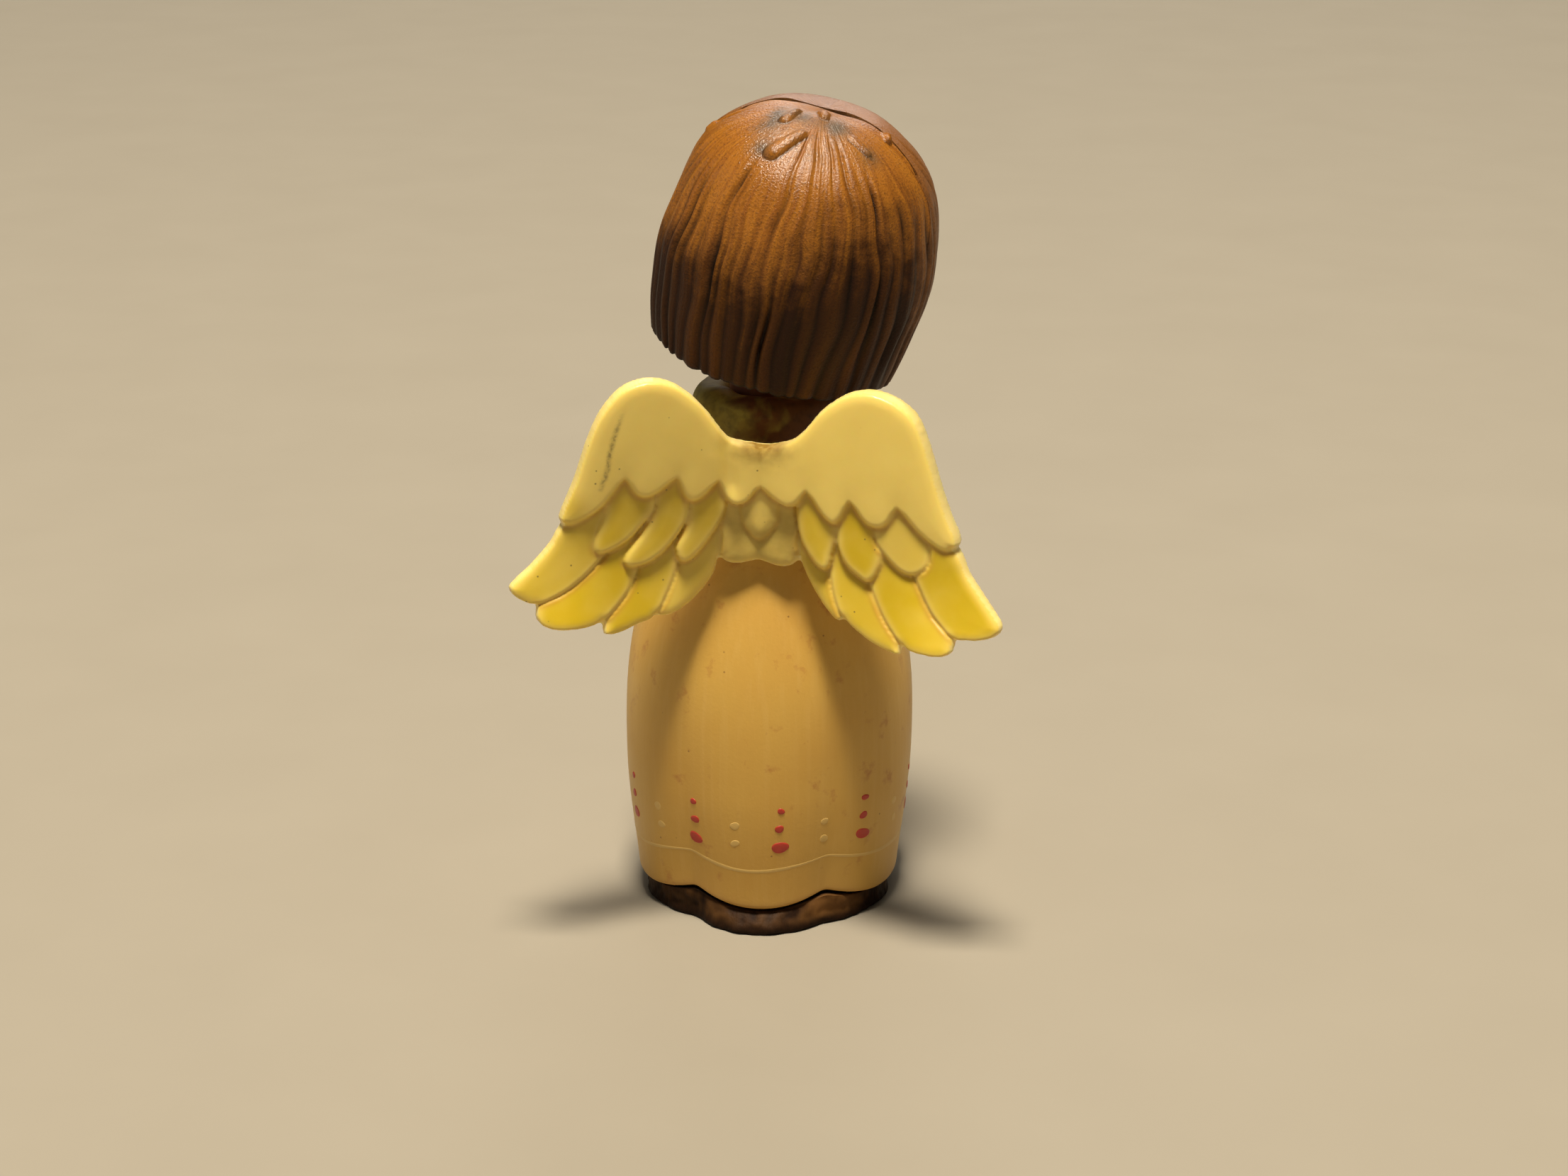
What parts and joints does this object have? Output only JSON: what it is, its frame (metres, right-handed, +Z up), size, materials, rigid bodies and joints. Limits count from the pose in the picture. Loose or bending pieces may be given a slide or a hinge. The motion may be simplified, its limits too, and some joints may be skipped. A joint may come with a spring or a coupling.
{
  "type": "angel figurine",
  "caption": "Standing angel with a leaning bobbed head that turns on a peg, a fluted bell-shaped robe with scalloped hem, folded sleeves and layered feather wings on a dark base.",
  "frame": {"origin": "centre of the base's flat underside", "axes": "+Z up, the figure faces -Y, its left side is +X"},
  "size_m": [0.0749, 0.0558, 0.1296],
  "materials": {
    "robe_paint": "satin cream paint with red and white dots",
    "base_stain": "dark brown stain",
    "skin_paint": "satin skin-coloured paint",
    "collar_paint": "dark olive-brown paint",
    "hair_glaze": "orange-brown glaze, darker in the grooves",
    "wing_plastic": "semi-gloss cream, yellow airbrush",
    "beech": "bare turned beech"
  },
  "bodies": {
    "figure": {"base": "base_stain", "robe": "robe_paint", "neck_peg": "skin_paint", "collar": "collar_paint", "wings": "wing_plastic", "wing_dowel_left": "beech", "wing_dowel_right": "beech", "sleeve_left": "robe_paint", "sleeve_right": "robe_paint", "arm_dowel_left": "beech", "arm_dowel_right": "beech", "hand_left": "skin_paint", "hand_right": "skin_paint"},
    "head": {"head": "skin_paint", "hair_back": "hair_glaze", "hair_front": "hair_glaze"}
  },
  "joints": [
    {"name": "head_turn", "type": "hinge", "parent": "figure", "child": "head", "pos_m": [0, 0, 0.086], "axis": [-0.2181, 0, 0.9759], "continuous": true}
  ]
}
